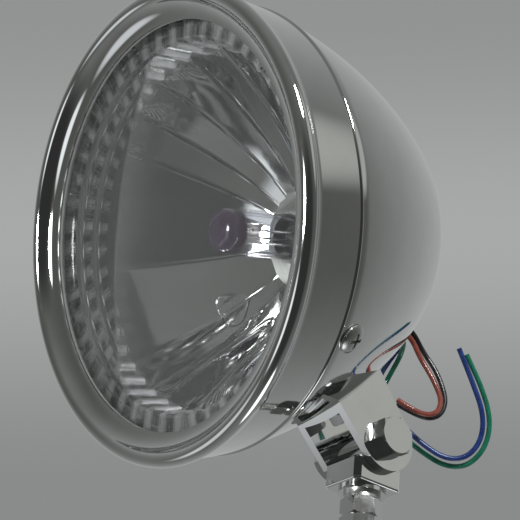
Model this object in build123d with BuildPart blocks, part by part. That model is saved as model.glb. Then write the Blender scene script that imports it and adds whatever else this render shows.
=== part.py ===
from build123d import *

"""Round motorcycle headlight on a tilting bottom mount, in millimetres.

Everything on the lamp is drawn in the lamp's own axes: its optical axis is Y, the light leaves
towards -Y, and y = 0 is the seam between trim ring and bucket. aim() then hangs the finished
pieces on the pivot bolt. The mount stands in the part's frame: its stud points down -Z, and the
origin is where the stud's full diameter starts at its free end.
"""
from math import cos, degrees, hypot, pi, radians, sin, sqrt, tan
import os

os.makedirs("parts", exist_ok=True)

# Trim ring
lip_radius = 82.5
bead_radius = 2.9
ring_depth = 25.8
ring_wall = 1.0
lip_overhang = 3.6
band_drop = 2.0
hem_length = 1.4
hem_height = 0.5
flare_width = 11.9
glass_setback = 5.5
flare_sag = 1.0
drain_radius = 1.6
drain_from_seam = 6.0

# Bucket
bucket_wall = 1.0
rim_clearance = 0.3
rim_overlap = 9.0
rim_past_seam = 1.5
shoulder_radius = 12.0
flank_radius = 170.0
flank_start = 13.0
flank_end = 34.0

# Lens, gasket and reflector
lens_cover = 3.9
lens_wall = 3.0
lens_dome = 5.0
lens_step = 3.6
gasket_wall = 1.2
reflector_wall = 2.2
flange_wall = 1.5
skirt_inset = 5.4
skirt_depth = 12.9
facet_inset = 0.7
facet_depth = 44.0
bulb_hole_radius = 19.0
collar_radius = 24.0
collar_length = 5.0
rib_count = 48
rib_height = 0.7
rib_width = 1.6
facet_angles = [9, 25, 40, 54, 82, 118, 134, 152, 171]
facet_shares = [0, 0.18, 0.4, 0.62, 0.82, 0.94, 1.0]

# Main bulb and its back end
bulb_radius = 8.5
bulb_wall = 1.0
tip_round = 5.0
filament_offset = 3.2
long_filament = 24.0
short_filament = 16.0
shade_setback = 20.0
shade_radius = 3.6
shade_length = 9.0
bulb_length = 39.0
bulb_flange_radius = 22.0
bulb_flange_wall = 1.2
bulb_neck_radius = 11.0
bulb_neck_length = 8.0
blade_width = 8.0
blade_wall = 0.8
blade_length = 9.0
blade_spread = 8.5
clip_wire_radius = 0.7
clip_inset = 7.0
clip_splay = 3.0
boot_wall = 1.8
boot_length = 13.0
plug_side = 26.0
plug_length = 17.0
plug_corner = 4.0

# Position lamp, low on one side of the reflector
position_from_collar = 11.0
position_angle = -63.0
position_bulb_radius = 4.4
position_bulb_length = 15.0
position_bore_radius = 5.3
position_boss_radius = 7.6
position_boss_end = 42.0
holder_length = 8.0
position_lead_rise = 16.0
position_lead_reach = 21.0

# Fastening of the ring
side_screw_angle = 41.5
side_screw_slope = 14.0
strap_width = 14.0
strap_wall = 1.2
strap_gap = 0.3
weld_gap = 3.0
weld_length = 6.0
hook_reach = 4.0
clip_angles = [-150, -75, 75, 150]
clip_width = 10.0
clip_wall = 0.8

# Bracket and mount
aim_tilt = 20.0
bracket_slope = 27.0
pivot_drop = 19.5
bracket_wall = 3.0
bracket_width = 25.0
ear_radius = 11.5
web_front = 11.0
web_rear = 15.5
seat_gap = 0.05
backing_wall = 2.0
backing_length = 26.0
side_play = 0.1
block_length = 21.0
block_base = 9.0
block_drop = 16.4
block_neck = 15.0
eye_radius = 8.5
block_chamfer = 2.0
running_clearance = 0.08
socket_depth = 7.0
free_end = 11.0
stud_point = 0.6

# Fasteners
m8_radius = 4.0
m8_pitch_radius = 3.6
m8_flats = 13.0
m8_head = 5.3
m8_nut = 6.5
m8_washer_radius = 8.5
m8_washer = 1.6
m8_spring_washer_radius = 6.6
m8_spring_washer = 2.0
m6_radius = 3.0
m6_flats = 10.0
m6_head = 4.0
m6_nut = 5.0
m5_radius = 2.5
m5_head_radius = 5.0
m5_head = 2.0
m5_flats = 8.0
m5_nut = 4.0
hole_clearance = 0.2
thread_gap = 0.05
recess_length = 5.4
recess_width = 1.1
recess_depth = 1.2

# Wires and their grommet
wire_radius = 1.0
wire_gap = 0.05
grommet_slope = 60.0
grommet_radius = 9.5
grommet_neck_radius = 7.0
grommet_lip = 1.8
grommet_boss_radius = 5.6
grommet_boss = 1.2
wire_pitch = 2.9

# Radii that follow the lip
ring_rear_radius = lip_radius - lip_overhang
glass_opening_radius = lip_radius - flare_width
bucket_radius = ring_rear_radius - ring_wall - rim_clearance
lens_flange_radius = glass_opening_radius + lens_cover
lens_step_radius = glass_opening_radius - lens_step
skirt_radius = glass_opening_radius - skirt_inset
facet_mouth_radius = skirt_radius - facet_inset

# Places that follow the bulb's collar
position_radius_out = collar_radius + position_from_collar
clip_reach = collar_radius - clip_inset


def ring_of(angle):
    """Direction across the axis, at an angle from the bottom towards +X."""
    return sin(radians(angle)), 0, -cos(radians(angle))


def half_plane(angle):
    """Plane through the axis: x runs back along the axis, y runs outwards at the angle."""
    out = ring_of(angle)
    return Plane(origin=(0, 0, 0), x_dir=(0, 1, 0), z_dir=(out[2], 0, -out[0]))


def across(y, angle=0):
    """Plane square to the axis: its normal points back and its x points towards +X."""
    return Plane(origin=(0, y, 0), x_dir=(1, 0, 0), z_dir=(0, 1, 0)).rotated((0, angle, 0))


shoulder_end = (
    rim_past_seam + shoulder_radius * sin(radians(flank_start)),
    bucket_radius - shoulder_radius * (1 - cos(radians(flank_start))),
)
flank_centre = (
    shoulder_end[0] - flank_radius * sin(radians(flank_start)),
    shoulder_end[1] - flank_radius * cos(radians(flank_start)),
)
flank_stop = (
    flank_centre[0] + flank_radius * sin(radians(flank_end)),
    flank_centre[1] + flank_radius * cos(radians(flank_end)),
)
cap_radius = flank_stop[1] / cos(radians(flank_end))
cap_centre = flank_stop[0] - cap_radius * sin(radians(flank_end))


def bowl_point(slope, grow=0.0):
    """Axial place and radius on the bowl where its skin has turned by this slope."""
    if slope <= flank_end:
        centre, reach = flank_centre, flank_radius + grow
    else:
        centre, reach = (cap_centre, 0), cap_radius + grow
    return centre[0] + reach * sin(radians(slope)), centre[1] + reach * cos(radians(slope))


def bowl_plane(slope, angle, lift=0.0):
    """Plane on the bowl's skin, its normal outwards and its x around the axis."""
    y, r = bowl_point(slope, lift)
    out = ring_of(angle)
    square, back = cos(radians(slope)), sin(radians(slope))
    return Plane(
        origin=(r * out[0], y, r * out[2]),
        x_dir=(-out[2], 0, out[0]),
        z_dir=(out[0] * square, back, out[2] * square),
    )


def bowl_outline(grow):
    """Draw the bowl's profile from its rim to the pole, grown outwards, on a half plane."""
    shoulder = (rim_past_seam, bucket_radius - shoulder_radius)
    rim = Line((-rim_overlap, bucket_radius + grow), (rim_past_seam, bucket_radius + grow))
    CenterArc(shoulder, shoulder_radius + grow, 90, -flank_start)
    CenterArc(flank_centre, flank_radius + grow, 90 - flank_start, flank_start - flank_end)
    CenterArc((cap_centre, 0), cap_radius + grow, 90 - flank_end, flank_end - 90)
    return rim


def bowl_body(grow):
    """Solid of everything inside the bowl's skin, grown outwards."""
    with BuildPart() as body:
        with BuildSketch(half_plane(0)):
            with BuildLine():
                bowl_outline(grow)
                Polyline(
                    (cap_centre + cap_radius + grow, 0),
                    (-rim_overlap, 0),
                    (-rim_overlap, bucket_radius + grow),
                )
            make_face()
        revolve(axis=Axis.Y)
    return body.part


def hex_piece(seat, flats, height, bore=0.0, shank=0.0, shank_length=0.0):
    """Hexagon nut or bolt head standing on its seat, with a bore or a shank through the seat."""
    corner = flats / 2 / cos(radians(30))
    ease = (corner - flats / 2) * 0.8
    profile = Plane(origin=seat.origin, x_dir=seat.x_dir, z_dir=seat.x_dir.cross(seat.z_dir))
    with BuildPart() as piece:
        with BuildSketch(seat):
            RegularPolygon(flats / 2, 6, major_radius=False)
        extrude(amount=height)
        with BuildSketch(profile):
            Polygon(
                (0, 0), (flats / 2, 0), (corner, ease), (corner, height - ease),
                (flats / 2, height), (0, height), align=None,
            )
        revolve(axis=Axis(seat.origin, seat.z_dir), mode=Mode.INTERSECT)
        if bore:
            with BuildSketch(seat):
                Circle(bore)
            extrude(amount=height, mode=Mode.SUBTRACT)
        if shank:
            with BuildSketch(seat):
                Circle(shank)
            extrude(amount=-shank_length)
            chamfer(piece.faces().sort_by(Axis(seat.origin, seat.z_dir))[0].edges(), shank * 0.15)
    return piece


def washer(seat, outer, inner, height):
    """Flat washer lying on its seat."""
    with BuildPart() as piece:
        with BuildSketch(seat):
            Circle(outer)
            Circle(inner, mode=Mode.SUBTRACT)
        extrude(amount=height)
    return piece


def spring_washer(seat, outer, inner, height, slit=0.8):
    """Split washer, closed flat, with its slanting slit."""
    with BuildPart() as piece:
        with BuildSketch(seat):
            Circle(outer)
            Circle(inner, mode=Mode.SUBTRACT)
        extrude(amount=height)
        with BuildSketch(Plane(origin=seat.origin, x_dir=seat.y_dir, z_dir=-seat.x_dir)):
            Polygon(
                (-slit * 1.5, 0), (-slit / 2, 0), (slit * 1.5, height), (slit / 2, height),
                align=None,
            )
        extrude(amount=outer + 1, mode=Mode.SUBTRACT)
    return piece


def cross_screw(seat, length):
    """Pan-head screw with a cross recess, its head standing on the seat."""
    profile = Plane(origin=seat.origin, x_dir=seat.x_dir, z_dir=seat.x_dir.cross(seat.z_dir))
    with BuildPart() as piece:
        with BuildSketch(profile):
            with BuildLine():
                Polyline((0, m5_head), (0, -length), (m5_radius, -length), (m5_radius, 0),
                         (m5_head_radius, 0), (m5_head_radius, m5_head * 0.35))
                ThreePointArc((m5_head_radius, m5_head * 0.35),
                              (m5_head_radius * 0.68, m5_head * 0.85), (0, m5_head))
            make_face()
        revolve(axis=Axis(seat.origin, seat.z_dir))
        with BuildSketch(seat.offset(m5_head - recess_depth)):
            Rectangle(recess_length, recess_width)
            Rectangle(recess_width, recess_length)
        extrude(amount=recess_depth + 1, mode=Mode.SUBTRACT)
    return piece


def strap(angle, width, outer_line):
    """Pressed strap that follows a line of (axial, radial) points, curved with the ring."""
    turn = degrees(width / bucket_radius)
    inner_line = [(y, r - strap_wall) for y, r in reversed(outer_line)]
    with BuildPart() as piece:
        with BuildSketch(half_plane(angle + turn / 2)):
            Polygon(*outer_line, *inner_line, align=None)
        revolve(axis=Axis.Y, revolution_arc=turn)
    return piece


def tube(path_points, radius, bends):
    """Round wire along straight runs joined by tangent arcs of the given bend radius or radii."""
    with BuildPart() as piece:
        with BuildLine():
            FilletPolyline(*path_points, radius=bends)
        start = Vector(*path_points[0])
        heading = Vector(*path_points[1]) - start
        with BuildSketch(Plane(origin=start, z_dir=heading)):
            Circle(radius)
        sweep()
    return piece


# The lamp hangs on its pivot: where the pivot is on the lamp, and where it is on the mount.
pivot_on_lamp = bowl_plane(bracket_slope, 0, pivot_drop).origin
stack_below_block = m8_washer + m8_spring_washer + 2 * m8_nut
pivot_height = free_end + stack_below_block + block_drop
aim = Pos(0, 0, pivot_height) * Rot(aim_tilt, 0, 0) * Pos(-pivot_on_lamp)


def save(piece, place=Location()):
    """Write one labelled piece where it stands on the finished headlight."""
    placed = piece.moved(place)
    placed.label = piece.label
    export_step(placed, f"parts/{piece.label}.step")


# Trim ring: flare, rolled bead, tapering band and a raised hem at the seam.
bead_centre = (bead_radius - ring_depth, lip_radius - bead_radius)
flare_inner = (glass_setback - ring_depth, glass_opening_radius)
flare_outer = (bead_centre[0] - bead_radius * 0.5, bead_centre[1] - bead_radius * sqrt(0.75))
flare_run = hypot(flare_outer[0] - flare_inner[0], flare_outer[1] - flare_inner[1])
flare_middle = (
    (flare_inner[0] + flare_outer[0]) / 2 + flare_sag * (flare_outer[1] - flare_inner[1]) / flare_run,
    (flare_inner[1] + flare_outer[1]) / 2 - flare_sag * (flare_outer[0] - flare_inner[0]) / flare_run,
)
band_start = (bead_centre[0] + bead_radius + 0.4, ring_rear_radius + band_drop)
band_end = (-hem_length, ring_rear_radius)


def band_inside(y):
    """Radius of the ring band's inner face at an axial place."""
    share = (y - band_start[0]) / (band_end[0] - band_start[0])
    return band_start[1] + share * (band_end[1] - band_start[1]) - ring_wall


with BuildPart() as trim_ring:
    with BuildSketch(half_plane(180)):
        with BuildLine():
            ThreePointArc(flare_inner, flare_middle, flare_outer)
            bead = ThreePointArc(
                flare_outer,
                (bead_centre[0] - bead_radius * sqrt(0.5), bead_centre[1] + bead_radius * sqrt(0.5)),
                (bead_centre[0] + bead_radius * 0.8, bead_centre[1] + bead_radius * 0.6),
            )
            Line(bead @ 1, band_start)
            Line(band_start, band_end)
            ThreePointArc(band_end, (-hem_length / 2, ring_rear_radius + hem_height),
                          (0, ring_rear_radius))
            offset(amount=ring_wall, side=Side.RIGHT, kind=Kind.ARC)
        make_face()
    revolve(axis=Axis.Y)
    with BuildSketch(Plane(origin=(0, -drain_from_seam, 0), x_dir=(1, 0, 0), z_dir=(0, 0, -1))):
        Circle(drain_radius)
    extrude(amount=lip_radius + 1, mode=Mode.SUBTRACT)

# Bucket: one drawn shell, open at the front, with its holes.
screw_planes = [bowl_plane(side_screw_slope, a) for a in (-side_screw_angle, side_screw_angle)]
bracket_seat = bowl_plane(bracket_slope, 0)
grommet_seat = bowl_plane(grommet_slope, 0)
with BuildPart() as headlight_bucket:
    with BuildSketch(half_plane(0)):
        with BuildLine():
            bowl_outline(0)
            bowl_outline(-bucket_wall)
            Line((-rim_overlap, bucket_radius), (-rim_overlap, bucket_radius - bucket_wall))
            Line((cap_centre + cap_radius, 0), (cap_centre + cap_radius - bucket_wall, 0))
        make_face()
    revolve(axis=Axis.Y)
    for seat in screw_planes:
        with BuildSketch(seat):
            Circle(m5_radius + hole_clearance)
        extrude(amount=2 * bucket_wall, both=True, mode=Mode.SUBTRACT)
    with BuildSketch(bracket_seat):
        Circle(m6_radius + hole_clearance)
    extrude(amount=2 * bucket_wall, both=True, mode=Mode.SUBTRACT)
    with BuildSketch(grommet_seat):
        Circle(grommet_neck_radius)
    extrude(amount=2 * bucket_wall, both=True, mode=Mode.SUBTRACT)

# Straps welded inside the ring: two take the side screws, a short one hooks under the rim.
weld_rear = -rim_overlap - weld_gap
weld_line = [(y, band_inside(y) - strap_gap / 3) for y in (weld_rear - weld_length, weld_rear)]
under_rim = bucket_radius - bucket_wall - strap_gap
strap_end = bowl_point(side_screw_slope + 2, -bucket_wall - strap_gap)
strap_line = weld_line + [(-rim_overlap, under_rim), (0.0, under_rim), strap_end]
hook_line = weld_line + [(-rim_overlap, under_rim), (hook_reach - rim_overlap, under_rim)]
side_straps = [strap(a, strap_width, strap_line) for a in (-side_screw_angle, side_screw_angle)]
with BuildPart() as ring_straps:
    add([piece.part for piece in side_straps])
    for seat in screw_planes:
        with BuildSketch(seat):
            Circle(m5_radius + hole_clearance)
        extrude(amount=-3 * (bucket_wall + strap_wall), mode=Mode.SUBTRACT)
ring_hook = strap(180, strap_width, hook_line)

nut_depth = bucket_wall + strap_gap + strap_wall + 0.8
screw_length = nut_depth + m5_nut + 1.5
screws = [cross_screw(seat.offset(0.02), screw_length) for seat in screw_planes]
with BuildPart() as side_screws:
    add([piece.part for piece in screws])
weld_nuts = [
    hex_piece(seat.offset(-nut_depth - m5_nut), m5_flats, m5_nut, bore=m5_radius + thread_gap)
    for seat in screw_planes
]
with BuildPart() as strap_nuts:
    add([piece.part for piece in weld_nuts])

# Lens: a flat rim that the ring holds, and a shallow clear dome.
lens_front = flare_inner[0] + ring_wall + gasket_wall
lens_back = lens_front + lens_wall
with BuildPart() as lens:
    with BuildSketch(half_plane(0)):
        with BuildLine():
            Polyline((lens_back, lens_step_radius - 1), (lens_back, lens_flange_radius),
                     (lens_front, lens_flange_radius), (lens_front, lens_step_radius),
                     (lens_front - 0.5, lens_step_radius))
            front = RadiusArc(
                (lens_front - 0.5, lens_step_radius), (lens_front - lens_dome, 0),
                -(lens_step_radius**2 + (lens_dome - 0.5) ** 2) / 2 / (lens_dome - 0.5),
            )
            Line(front @ 1, (lens_back - lens_dome, 0))
            RadiusArc(
                (lens_back - lens_dome, 0), (lens_back, lens_step_radius - 1),
                ((lens_step_radius - 1) ** 2 + lens_dome**2) / 2 / lens_dome,
            )
        make_face()
    revolve(axis=Axis.Y)

# Gasket: a rubber channel round the joined rims of lens and reflector.
flange_back = lens_back + flange_wall
gasket_inner = glass_opening_radius + 0.5
gasket_groove = lens_flange_radius + seat_gap
with BuildPart() as lens_gasket:
    with BuildSketch(half_plane(0)):
        Polygon(
            (lens_front - gasket_wall + 0.3, gasket_inner),
            (lens_front - gasket_wall - 0.3, lens_flange_radius - 0.4),
            (lens_front, lens_flange_radius + gasket_wall),
            (flange_back + gasket_wall, lens_flange_radius + gasket_wall),
            (flange_back + gasket_wall, gasket_inner),
            (flange_back, gasket_inner),
            (flange_back, gasket_groove),
            (lens_front, gasket_groove),
            (lens_front, gasket_inner),
            align=None,
        )
    revolve(axis=Axis.Y)

# Reflector: bonded rim, ribbed skirt, and a dish of facets that fan out from the bulb hole.
facet_front = lens_back + skirt_depth
dish_curve = (facet_mouth_radius**2 - bulb_hole_radius**2) / facet_depth
dish_pole = facet_front + facet_mouth_radius**2 / dish_curve
dish_back = facet_front + facet_depth
edge_angles = facet_angles + [-angle for angle in reversed(facet_angles)]


def facet_section(share, grow):
    """Facet corners at one share of the dish's depth, each on the paraboloid."""
    y = facet_front + share * facet_depth
    r = sqrt(dish_curve * (dish_pole - y)) + grow
    corners = [(r * sin(radians(a)), r * cos(radians(a))) for a in edge_angles]
    return y, corners


def facet_dish(grow):
    """Solid whose sides are the facets, from the dish's mouth to the bulb hole."""
    with BuildPart() as dish:
        for share in facet_shares:
            y, corners = facet_section(share, grow)
            with BuildSketch(Plane(origin=(0, y, 0), x_dir=(1, 0, 0), z_dir=(0, -1, 0))):
                Polygon(*corners, align=None)
        loft()
    return dish.part


dish_outside = facet_dish(reflector_wall)
dish_inside = facet_dish(0)
position_place = (
    position_radius_out * ring_of(position_angle)[0],
    position_radius_out * ring_of(position_angle)[2],
)
position_front = dish_pole - position_radius_out**2 / dish_curve


def position_plane(y):
    """Plane square to the axis on the position lamp's centre, its normal pointing back."""
    return Plane(origin=(position_place[0], y, position_place[1]), x_dir=(1, 0, 0), z_dir=(0, 1, 0))


with BuildPart() as reflector:
    add(dish_outside)
    with BuildSketch(across(lens_back)):
        Circle(lens_flange_radius)
    extrude(amount=flange_wall)
    with BuildSketch(across(lens_back)):
        Circle(skirt_radius + reflector_wall)
    extrude(amount=skirt_depth + flange_wall)
    with BuildSketch(across(dish_back - 2)):
        Circle(collar_radius)
    extrude(amount=collar_length + 2)
    with BuildSketch(position_plane(position_front - 4)):
        Circle(position_boss_radius)
    extrude(amount=position_boss_end - position_front + 4)
    add(dish_inside, mode=Mode.SUBTRACT)
    with BuildSketch(across(lens_back)):
        Circle(skirt_radius)
    extrude(amount=skirt_depth, mode=Mode.SUBTRACT)
    with BuildSketch(across(dish_back - 1)):
        Circle(bulb_hole_radius)
    extrude(amount=collar_length + 2, mode=Mode.SUBTRACT)
    with BuildSketch(position_plane(position_front - 12)):
        Circle(position_bore_radius)
    extrude(amount=position_boss_end - position_front + 13, mode=Mode.SUBTRACT)
    with BuildSketch(across(lens_back + flange_wall)):
        with PolarLocations(skirt_radius, rib_count):
            Rectangle(2 * rib_height, rib_width)
    extrude(amount=skirt_depth - flange_wall)

# Spring clips that press the joined unit forwards against the ring.
clip_y = flange_back + gasket_wall
with BuildPart() as unit_clips:
    for angle in clip_angles:
        turn = degrees(clip_width / bucket_radius)
        top = band_inside(clip_y + 1) - strap_gap / 3
        with BuildSketch(half_plane(angle + turn / 2)):
            Polygon(
                (clip_y + clip_wall, glass_opening_radius + 1.5),
                (clip_y, glass_opening_radius + 1.5),
                (clip_y, top - clip_wall),
                (clip_y - 4.5, top - clip_wall),
                (clip_y - 4.5, top),
                (clip_y + clip_wall, top),
                align=None,
            )
        revolve(axis=Axis.Y, revolution_arc=turn)

# Main bulb: glass envelope, metal base with its locating flange, and three blades.
bulb_seat = dish_back + collar_length
glass_back = bulb_seat - 6.0
glass_tip = bulb_seat - 5.0 - bulb_length
neck_back = bulb_seat + bulb_neck_length
dome_root = glass_tip + tip_round
with BuildPart() as bulb_glass:
    with BuildSketch(half_plane(0)):
        with BuildLine():
            Polyline((dome_root, bulb_radius), (glass_back, bulb_radius),
                     (glass_back, bulb_radius - bulb_wall), (dome_root, bulb_radius - bulb_wall))
            CenterArc((dome_root, bulb_radius - tip_round), tip_round, 90, 90)
            CenterArc((dome_root, bulb_radius - tip_round), tip_round - bulb_wall, 90, 90)
            Polyline((glass_tip, bulb_radius - tip_round), (glass_tip, 0), (glass_tip + bulb_wall, 0),
                     (glass_tip + bulb_wall, bulb_radius - tip_round))
        make_face()
    revolve(axis=Axis.Y)

with BuildPart() as bulb_filaments:
    for x, z, reach in (
        (-filament_offset, 0, long_filament), (filament_offset, 0, long_filament),
        (0, -shade_radius, short_filament),
    ):
        with BuildSketch(Plane(origin=(x, glass_back, z), x_dir=(1, 0, 0), z_dir=(0, -1, 0))):
            Circle(0.5)
        extrude(amount=reach)
    with BuildSketch(half_plane(0)):
        with Locations((glass_back - shade_setback, shade_radius)):
            Rectangle(shade_length, 0.5)
    revolve(axis=Axis.Y, revolution_arc=180)
    with BuildSketch(Plane(origin=(0, glass_back, 0), x_dir=(1, 0, 0), z_dir=(0, -1, 0))):
        Circle(5)
    extrude(amount=1.5)

with BuildPart() as bulb_base:
    with BuildSketch(half_plane(0)):
        Polygon(
            (glass_back, bulb_radius + wire_gap), (glass_back, 0), (neck_back, 0),
            (neck_back, bulb_neck_radius), (bulb_seat + bulb_flange_wall, bulb_neck_radius),
            (bulb_seat + bulb_flange_wall, bulb_flange_radius), (bulb_seat, bulb_flange_radius),
            (bulb_seat, bulb_radius + 3), (glass_back - 5, bulb_radius + 1),
            (glass_back - 5, bulb_radius + wire_gap), align=None,
        )
    revolve(axis=Axis.Y)

blade_places = [(0, blade_spread, 0), (-blade_spread, 0, 90), (blade_spread, 0, 90)]
with BuildPart() as bulb_terminals:
    for x, z, turn in blade_places:
        with BuildSketch(Plane(origin=(x, neck_back, -z), x_dir=(1, 0, 0), z_dir=(0, 1, 0))):
            Rectangle(blade_width, blade_wall, rotation=turn)
        extrude(amount=blade_length)

# Wire spring that holds the bulb's flange against the collar.
wire_y = bulb_seat + bulb_flange_wall + clip_wire_radius
arm = bulb_neck_radius + clip_wire_radius + 0.3
bulb_clip = tube(
    [(arm + clip_splay, wire_y, clip_reach), (arm, wire_y, clip_reach - clip_splay - 1),
     (arm, wire_y, 1 - clip_reach), (-arm, wire_y, 1 - clip_reach),
     (-arm, wire_y, clip_reach - clip_splay - 1), (-arm - clip_splay, wire_y, clip_reach)],
    clip_wire_radius, 2.0,
)

# Rubber boot over the bulb's back, and the three-way plug.
boot_back = bulb_seat + boot_length
with BuildPart() as bulb_boot:
    with BuildSketch(half_plane(0)):
        Polygon(
            (dish_back + 1.0, collar_radius + wire_gap), (bulb_seat + 3, collar_radius + wire_gap),
            (boot_back - 3, plug_side / 2 + 0.5), (boot_back, plug_side / 2 + 0.5),
            (boot_back, plug_side / 2 + 0.5 + boot_wall), (boot_back - 3, plug_side / 2 + 0.5 + boot_wall),
            (bulb_seat + 3, collar_radius + wire_gap + boot_wall),
            (dish_back + 1.0, collar_radius + wire_gap + boot_wall), align=None,
        )
    revolve(axis=Axis.Y)
    with BuildSketch(across(bulb_seat + 2)):
        Rectangle(plug_side + 0.1, plug_side + 0.1)
    extrude(amount=boot_length, mode=Mode.SUBTRACT)

plug_front = neck_back + 0.5
plug_back = plug_front + plug_length
with BuildPart() as bulb_plug:
    with BuildSketch(across(plug_front)):
        RectangleRounded(plug_side, plug_side, plug_corner)
    extrude(amount=plug_length)
    for x, z, turn in blade_places:
        with BuildSketch(Plane(origin=(x, plug_front, -z), x_dir=(1, 0, 0), z_dir=(0, 1, 0))):
            Rectangle(blade_width + 0.4, blade_wall + 0.4, rotation=turn)
        extrude(amount=blade_length, mode=Mode.SUBTRACT)

# Position lamp: a small capless bulb in its push-in holder.
holder_front = position_boss_end - 4.0
with BuildPart() as position_holder:
    with BuildSketch(position_plane(holder_front)):
        Circle(position_bore_radius - wire_gap)
    extrude(amount=position_boss_end - holder_front)
    with BuildSketch(position_plane(position_boss_end)):
        Circle(position_boss_radius)
    extrude(amount=holder_length)
with BuildPart() as position_bulb:
    with BuildSketch(position_plane(holder_front)):
        Circle(position_bulb_radius)
    extrude(amount=-position_bulb_length)
    fillet(position_bulb.edges().sort_by(Axis.Y)[0], position_bulb_radius * 0.85)

# Bracket: a channel whose web is formed to the bowl and whose ears carry the pivot bolt.
side_view = Plane(
    origin=pivot_on_lamp,
    x_dir=(0, cos(radians(bracket_slope)), sin(radians(bracket_slope))),
    z_dir=(1, 0, 0),
)
bowl_grown = bowl_body(seat_gap)
web_grown = bowl_body(seat_gap + bracket_wall)
with BuildPart() as ear_room:
    with BuildSketch(side_view):
        Rectangle(4 * ear_radius, 4 * pivot_drop)
    extrude(amount=bracket_width / 2 - bracket_wall, both=True)
    add(web_grown, mode=Mode.SUBTRACT)
with BuildPart() as mount_bracket:
    with BuildSketch(side_view):
        with BuildLine():
            end = ThreePointArc((-ear_radius, 0), (0, -ear_radius), (ear_radius, 0))
            Polyline(end @ 1, (ear_radius + 1.0, pivot_drop * 0.35), (web_rear, pivot_drop + 6),
                     (-web_front, pivot_drop + 6), end @ 0)
        make_face()
    extrude(amount=bracket_width / 2, both=True)
    add(ear_room.part, mode=Mode.SUBTRACT)
    add(bowl_grown, mode=Mode.SUBTRACT)
    with BuildSketch(side_view):
        Circle(m8_radius + running_clearance)
    extrude(amount=bracket_width, both=True, mode=Mode.SUBTRACT)
    with BuildSketch(bracket_seat):
        Circle(m6_radius + hole_clearance)
    extrude(amount=2 * bracket_wall, both=True, mode=Mode.SUBTRACT)

inner_skin = bowl_body(-bucket_wall - seat_gap)
inner_room = bowl_body(-bucket_wall - seat_gap - backing_wall)
with BuildPart() as bracket_backing:
    with BuildSketch(bracket_seat.offset(-12)):
        RectangleRounded(bracket_width - 2, backing_length, 4)
    extrude(amount=14)
    add(inner_skin, mode=Mode.INTERSECT)
    add(inner_room, mode=Mode.SUBTRACT)
    with BuildSketch(bracket_seat):
        Circle(m6_radius + hole_clearance)
    extrude(amount=-12, mode=Mode.SUBTRACT)

backing_face = -(bucket_wall + 2 * seat_gap + backing_wall)
bracket_bolt = hex_piece(
    bracket_seat.offset(seat_gap + bracket_wall + 0.3), m6_flats, m6_head, shank=m6_radius,
    shank_length=seat_gap + bracket_wall + 0.3 - backing_face + m6_nut + 2.0,
)
bracket_nut = hex_piece(
    bracket_seat.offset(backing_face - m6_nut - 0.3), m6_flats, m6_nut, bore=m6_radius + thread_gap
)

# Pivot bolt through the ears, with its washer and nut on the far side.
bolt_seat = Plane(origin=pivot_on_lamp + Vector(bracket_width / 2, 0, 0), x_dir=(0, 1, 0), z_dir=(1, 0, 0))
nut_seat = Plane(origin=pivot_on_lamp - Vector(bracket_width / 2, 0, 0), x_dir=(0, 1, 0), z_dir=(-1, 0, 0))
pivot_bolt = hex_piece(
    bolt_seat, m8_flats, m8_head, shank=m8_radius,
    shank_length=bracket_width + m8_washer + m8_nut + 2.0,
)
pivot_washer = washer(nut_seat, m8_washer_radius, m8_radius + hole_clearance, m8_washer)
pivot_nut = hex_piece(nut_seat.offset(m8_washer), m8_flats, m8_nut, bore=m8_radius + thread_gap)

# Grommet in the bowl's back, with a hole for each wire.
wire_places = {"black": (0.5, -0.5), "red": (0.5, 0.5), "blue": (-0.5, -0.5), "green": (-0.5, 0.5)}
inner_lip_top = -bucket_wall - 0.9
with BuildPart() as wire_grommet:
    with BuildSketch(grommet_seat.offset(inner_lip_top - grommet_lip)):
        Circle(grommet_radius - 1)
    extrude(amount=grommet_lip)
    with BuildSketch(grommet_seat.offset(inner_lip_top)):
        Circle(grommet_neck_radius - wire_gap)
    extrude(amount=seat_gap - inner_lip_top)
    with BuildSketch(grommet_seat.offset(seat_gap)):
        Circle(grommet_radius)
    extrude(amount=grommet_lip)
    with BuildSketch(grommet_seat.offset(seat_gap + grommet_lip)):
        Circle(grommet_boss_radius)
    extrude(amount=grommet_boss, taper=12)
    with BuildSketch(grommet_seat):
        with Locations([(u * wire_pitch, v * wire_pitch) for u, v in wire_places.values()]):
            Circle(wire_radius + wire_gap)
    extrude(amount=4 * grommet_lip, both=True, mode=Mode.SUBTRACT)


def in_grommet(colour, lift):
    """Point on one wire's line through the grommet, on the lamp."""
    u, v = wire_places[colour]
    return grommet_seat.offset(lift).from_local_coords((u * wire_pitch, v * wire_pitch, 0))


# Leads inside the bucket: three from the plug, one from the position lamp.
wire_start = inner_lip_top
lead_start = wire_start - 0.1
lead_turn = lead_start - grommet_lip - 4.0
holder_back = position_boss_end + holder_length
lead_routes = {
    "black": [(6, plug_back, -4), (6, plug_back + 6.5, -4), (3.5, plug_back + 5.5, -14)],
    "red": [(0, plug_back, -8), (0, plug_back + 5, -8), (0.5, plug_back + 3, -16)],
    "blue": [(-6, plug_back, -4), (-6, plug_back + 6.5, -4), (-3.5, plug_back + 5.5, -14)],
    "green": [(position_place[0], holder_back, position_place[1]),
              (position_place[0], holder_back + 8, position_place[1]),
              (-22, holder_back + position_lead_rise, -23),
              (-11, holder_back + position_lead_reach, -28)],
}


def corner_radii(points):
    """Largest fair radius for each corner of a wire's route."""
    radii = []
    for before, here, after in zip(points, points[1:], points[2:]):
        into, out = Vector(*here) - Vector(*before), Vector(*after) - Vector(*here)
        half_turn = radians(into.get_angle(out)) / 2
        radii.append(0.45 * min(into.length, out.length) / tan(half_turn))
    return radii


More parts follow.
